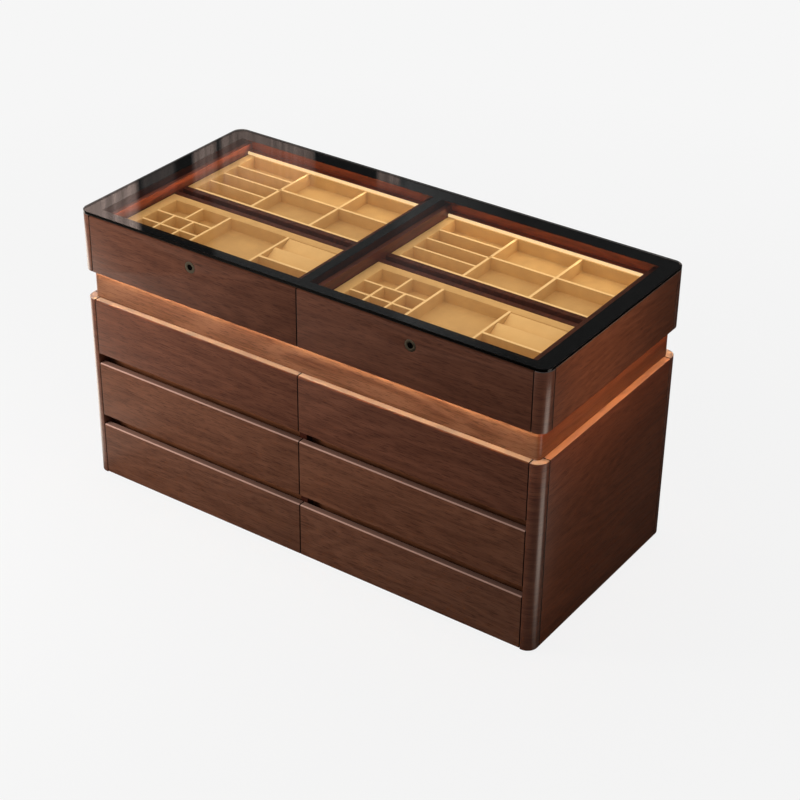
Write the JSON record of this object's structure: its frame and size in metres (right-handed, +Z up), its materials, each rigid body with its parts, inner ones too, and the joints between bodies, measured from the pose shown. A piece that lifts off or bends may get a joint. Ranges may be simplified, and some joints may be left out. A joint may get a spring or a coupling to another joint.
{
  "type": "closet island with drawers",
  "caption": "Walnut closet island with a glass-topped, lit jewellery case over a recessed waist and rows of handleless full-width drawers on telescopic runners.",
  "frame": {"origin": "on the floor under the middle of the base", "axes": "+X to the right seen from the drawer fronts, +Y from the fronts to the back, +Z up"},
  "size_m": [1.5, 0.7, 0.85],
  "materials": {
    "walnut_shell": "dark walnut veneer, satin lacquer, horizontal grain",
    "walnut_inner": "red-brown walnut, matt lacquer",
    "walnut_waist": "lighter walnut veneer, satin lacquer",
    "clear_glass": "clear toughened glass, polished arris",
    "black_enamel": "black ceramic enamel seen through the glass",
    "black_rubber": "black bedding tape",
    "tray_suede": "beige microsuede over board",
    "light_diffuser": "frosted diffuser, warm white light",
    "runner_steel": "zinc-plated sheet steel",
    "glide_plastic": "black moulded plastic",
    "lock_metal": "blackened steel"
  },
  "bodies": {
    "cabinet": {"glass_top": "clear_glass", "enamel_border": "black_enamel", "glass_bedding_strips": "black_rubber", "corner_posts": "walnut_shell", "side_panels": "walnut_shell", "back_panels": "walnut_shell", "chest_boards": "walnut_inner", "jewel_case_floor": "walnut_inner", "partitions": "walnut_inner", "bay_liners": "walnut_inner", "waist_boards": "walnut_waist", "light_bars": "light_diffuser", "jewel_case_rails": "walnut_inner", "finger_gap_rails": "walnut_inner", "floor_glides": "glide_plastic", "cabinet_runner_members": "runner_steel", "runner_battens": "walnut_inner"},
    "left_jewel_drawer": {"left_jewel_drawer_front": "walnut_shell", "left_jewel_drawer_box": "walnut_inner", "left_jewel_drawer_runners": "runner_steel", "left_rear_tray": "tray_suede", "left_front_tray": "tray_suede", "left_ring_pad": "tray_suede", "left_lock_housing": "lock_metal"},
    "left_jewel_telescopic_members": {"left_jewel_telescopic_members": "runner_steel"},
    "left_upper_drawer": {"left_upper_drawer_front": "walnut_shell", "left_upper_drawer_box": "walnut_inner", "left_upper_drawer_runners": "runner_steel"},
    "left_upper_telescopic_members": {"left_upper_telescopic_members": "runner_steel"},
    "left_middle_drawer": {"left_middle_drawer_front": "walnut_shell", "left_middle_drawer_box": "walnut_inner", "left_middle_drawer_runners": "runner_steel"},
    "left_middle_telescopic_members": {"left_middle_telescopic_members": "runner_steel"},
    "left_lower_drawer": {"left_lower_drawer_front": "walnut_shell", "left_lower_drawer_box": "walnut_inner", "left_lower_drawer_runners": "runner_steel"},
    "left_lower_telescopic_members": {"left_lower_telescopic_members": "runner_steel"},
    "left_lock_plug": {"left_lock_plug": "lock_metal"},
    "right_jewel_drawer": {"right_jewel_drawer_front": "walnut_shell", "right_jewel_drawer_box": "walnut_inner", "right_jewel_drawer_runners": "runner_steel", "right_rear_tray": "tray_suede", "right_front_tray": "tray_suede", "right_ring_pad": "tray_suede", "right_lock_housing": "lock_metal"},
    "right_jewel_telescopic_members": {"right_jewel_telescopic_members": "runner_steel"},
    "right_upper_drawer": {"right_upper_drawer_front": "walnut_shell", "right_upper_drawer_box": "walnut_inner", "right_upper_drawer_runners": "runner_steel"},
    "right_upper_telescopic_members": {"right_upper_telescopic_members": "runner_steel"},
    "right_middle_drawer": {"right_middle_drawer_front": "walnut_shell", "right_middle_drawer_box": "walnut_inner", "right_middle_drawer_runners": "runner_steel"},
    "right_middle_telescopic_members": {"right_middle_telescopic_members": "runner_steel"},
    "right_lower_drawer": {"right_lower_drawer_front": "walnut_shell", "right_lower_drawer_box": "walnut_inner", "right_lower_drawer_runners": "runner_steel"},
    "right_lower_telescopic_members": {"right_lower_telescopic_members": "runner_steel"},
    "right_lock_plug": {"right_lock_plug": "lock_metal"}
  },
  "joints": [
    {"name": "left_jewel_drawer_slide", "type": "slide", "parent": "cabinet", "child": "left_jewel_drawer", "axis": [0, -1, 0], "range_m": [0, 0.5]},
    {"name": "left_jewel_telescope", "type": "slide", "parent": "cabinet", "child": "left_jewel_telescopic_members", "axis": [0, -1, 0], "range_m": [0, 0.25]},
    {"name": "left_upper_drawer_slide", "type": "slide", "parent": "cabinet", "child": "left_upper_drawer", "axis": [0, -1, 0], "range_m": [0, 0.5]},
    {"name": "left_upper_telescope", "type": "slide", "parent": "cabinet", "child": "left_upper_telescopic_members", "axis": [0, -1, 0], "range_m": [0, 0.25]},
    {"name": "left_middle_drawer_slide", "type": "slide", "parent": "cabinet", "child": "left_middle_drawer", "axis": [0, -1, 0], "range_m": [0, 0.5]},
    {"name": "left_middle_telescope", "type": "slide", "parent": "cabinet", "child": "left_middle_telescopic_members", "axis": [0, -1, 0], "range_m": [0, 0.25]},
    {"name": "left_lower_drawer_slide", "type": "slide", "parent": "cabinet", "child": "left_lower_drawer", "axis": [0, -1, 0], "range_m": [0, 0.5]},
    {"name": "left_lower_telescope", "type": "slide", "parent": "cabinet", "child": "left_lower_telescopic_members", "axis": [0, -1, 0], "range_m": [0, 0.25]},
    {"name": "left_lock_turn", "type": "hinge", "parent": "left_jewel_drawer", "child": "left_lock_plug", "pos_m": [-0.356, -0.33, 0.79], "axis": [0, 1, 0], "range_deg": [0, 90]},
    {"name": "right_jewel_drawer_slide", "type": "slide", "parent": "cabinet", "child": "right_jewel_drawer", "axis": [0, -1, 0], "range_m": [0, 0.5]},
    {"name": "right_jewel_telescope", "type": "slide", "parent": "cabinet", "child": "right_jewel_telescopic_members", "axis": [0, -1, 0], "range_m": [0, 0.25]},
    {"name": "right_upper_drawer_slide", "type": "slide", "parent": "cabinet", "child": "right_upper_drawer", "axis": [0, -1, 0], "range_m": [0, 0.5]},
    {"name": "right_upper_telescope", "type": "slide", "parent": "cabinet", "child": "right_upper_telescopic_members", "axis": [0, -1, 0], "range_m": [0, 0.25]},
    {"name": "right_middle_drawer_slide", "type": "slide", "parent": "cabinet", "child": "right_middle_drawer", "axis": [0, -1, 0], "range_m": [0, 0.5]},
    {"name": "right_middle_telescope", "type": "slide", "parent": "cabinet", "child": "right_middle_telescopic_members", "axis": [0, -1, 0], "range_m": [0, 0.25]},
    {"name": "right_lower_drawer_slide", "type": "slide", "parent": "cabinet", "child": "right_lower_drawer", "axis": [0, -1, 0], "range_m": [0, 0.5]},
    {"name": "right_lower_telescope", "type": "slide", "parent": "cabinet", "child": "right_lower_telescopic_members", "axis": [0, -1, 0], "range_m": [0, 0.25]},
    {"name": "right_lock_turn", "type": "hinge", "parent": "right_jewel_drawer", "child": "right_lock_plug", "pos_m": [0.356, -0.33, 0.79], "axis": [0, 1, 0], "range_deg": [0, 90]}
  ],
  "couplings": [
    {"joint": "left_jewel_telescope", "follows": "left_jewel_drawer_slide", "ratio": 0.5},
    {"joint": "left_upper_telescope", "follows": "left_upper_drawer_slide", "ratio": 0.5},
    {"joint": "left_middle_telescope", "follows": "left_middle_drawer_slide", "ratio": 0.5},
    {"joint": "left_lower_telescope", "follows": "left_lower_drawer_slide", "ratio": 0.5},
    {"joint": "right_jewel_telescope", "follows": "right_jewel_drawer_slide", "ratio": 0.5},
    {"joint": "right_upper_telescope", "follows": "right_upper_drawer_slide", "ratio": 0.5},
    {"joint": "right_middle_telescope", "follows": "right_middle_drawer_slide", "ratio": 0.5},
    {"joint": "right_lower_telescope", "follows": "right_lower_drawer_slide", "ratio": 0.5}
  ]
}
